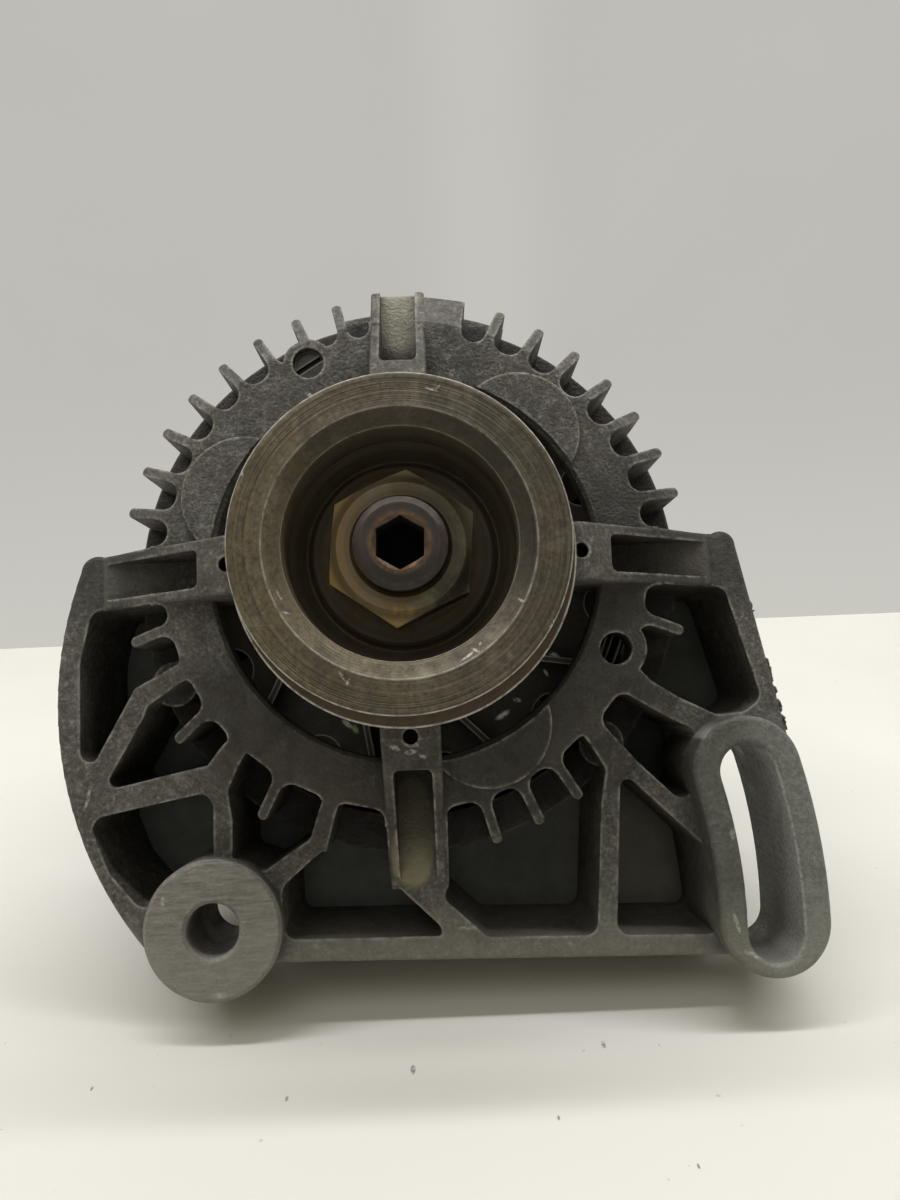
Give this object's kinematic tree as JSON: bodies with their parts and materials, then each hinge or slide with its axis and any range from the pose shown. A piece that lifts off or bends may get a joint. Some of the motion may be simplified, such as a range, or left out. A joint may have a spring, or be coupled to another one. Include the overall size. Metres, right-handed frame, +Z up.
{
  "type": "alternator",
  "caption": "Belt-driven car alternator with a ribbed drive-end bracket, pivot lug, slotted adjusting lug, V-belt pulley and plastic rear cover.",
  "frame": {"origin": "centre of the shaft's threaded front end, on the shaft axis", "axes": "+Y along the shaft towards the rear cover, +Z up, +X to the right when the pulley is looked at"},
  "size_m": [0.1495, 0.1597, 0.1417],
  "materials": {
    "cast_aluminium": "oxidised die casting, dirty grey",
    "cast_aluminium_rear": "die casting",
    "turned_steel": "turned, lightly rusted",
    "passivated_steel": "yellow passivated, corroded",
    "shaft_steel": "turned, tarnished",
    "screw_steel": "blackened",
    "bearing_steel": "ground",
    "cage_brass": "pressed",
    "seal_rubber": "matt",
    "zinc_steel": "zinc plated",
    "fan_steel": "pressed sheet",
    "pole_iron": "forged, dark",
    "moulded_plastic": "moulded",
    "copper_wire": "enamelled copper",
    "slip_ring_copper": "polished copper",
    "lamination_steel": "stacked sheet, varnished",
    "heat_sink_aluminium": "pressed sheet",
    "diode_can": "nickel plated",
    "carbon": "pressed carbon",
    "spring_steel": "wire",
    "regulator_case": "sheet case",
    "terminal_brass": "tinned brass",
    "cover_plastic": "glass-filled, black"
  },
  "bodies": {
    "frame": {"bearing_retainer_plate": "zinc_steel", "brush_holder": "moulded_plastic", "cover_nuts": "zinc_steel", "cover_studs": "zinc_steel", "drive_end_bracket": "cast_aluminium", "front_bearing_outer_ring": "bearing_steel", "front_bearing_seals": "seal_rubber", "front_brush_spring": "spring_steel", "lamp_terminal": "terminal_brass", "negative_diodes": "diode_can", "negative_heat_sink": "heat_sink_aluminium", "output_stud": "zinc_steel", "output_stud_insulator": "moulded_plastic", "output_stud_nut": "zinc_steel", "phase_leads": "copper_wire", "positive_diodes": "diode_can", "positive_heat_sink": "heat_sink_aluminium", "rear_bearing_outer_ring": "bearing_steel", "rear_bearing_seals": "seal_rubber", "rear_brush_spring": "spring_steel", "rear_cover": "cover_plastic", "rectifier_screws": "zinc_steel", "rectifier_spacers": "moulded_plastic", "regulator": "regulator_case", "regulator_screws": "zinc_steel", "retainer_screws": "zinc_steel", "set_screw": "screw_steel", "slip_ring_end_bracket": "cast_aluminium_rear", "stator_core": "lamination_steel", "stator_winding": "copper_wire", "through_bolts": "zinc_steel"},
    "rotor": {"rotor_shaft": "shaft_steel", "pulley": "turned_steel", "pulley_nut": "passivated_steel", "pulley_spacer": "turned_steel", "rotor_spacer": "turned_steel", "front_bearing_inner_ring": "bearing_steel", "rear_bearing_inner_ring": "bearing_steel", "front_fan": "fan_steel", "rear_fan": "fan_steel", "front_claw_pole": "pole_iron", "rear_claw_pole": "pole_iron", "field_bobbin": "moulded_plastic", "field_winding": "copper_wire", "slip_rings": "slip_ring_copper", "slip_ring_insulator": "moulded_plastic"},
    "front_ball_set": {"front_bearing_balls": "bearing_steel", "front_bearing_cage": "cage_brass"},
    "rear_ball_set": {"rear_bearing_balls": "bearing_steel", "rear_bearing_cage": "cage_brass"},
    "front_brush": {"front_brush": "carbon"},
    "rear_brush": {"rear_brush": "carbon"}
  },
  "joints": [
    {"name": "rotor_spin", "type": "hinge", "parent": "frame", "child": "rotor", "pos_m": [0, 0, 0], "axis": [0, 1, 0], "continuous": true},
    {"name": "front_ball_set_spin", "type": "hinge", "parent": "frame", "child": "front_ball_set", "pos_m": [0, 0.028, 0], "axis": [0, 1, 0], "continuous": true},
    {"name": "rear_ball_set_spin", "type": "hinge", "parent": "frame", "child": "rear_ball_set", "pos_m": [0, 0.1045, 0], "axis": [0, 1, 0], "continuous": true},
    {"name": "front_brush_slide", "type": "slide", "parent": "frame", "child": "front_brush", "axis": [0, 0, 1], "range_m": [0, 0.004], "stiffness_N_per_m": 200, "springref_m": -0.008, "deforming": ["front_brush_spring"]},
    {"name": "rear_brush_slide", "type": "slide", "parent": "frame", "child": "rear_brush", "axis": [0, 0, 1], "range_m": [0, 0.004], "stiffness_N_per_m": 200, "springref_m": -0.008, "deforming": ["rear_brush_spring"]}
  ],
  "couplings": [
    {"joint": "front_ball_set_spin", "follows": "rotor_spin", "ratio": 0.354},
    {"joint": "rear_ball_set_spin", "follows": "rotor_spin", "ratio": 0.3641}
  ]
}
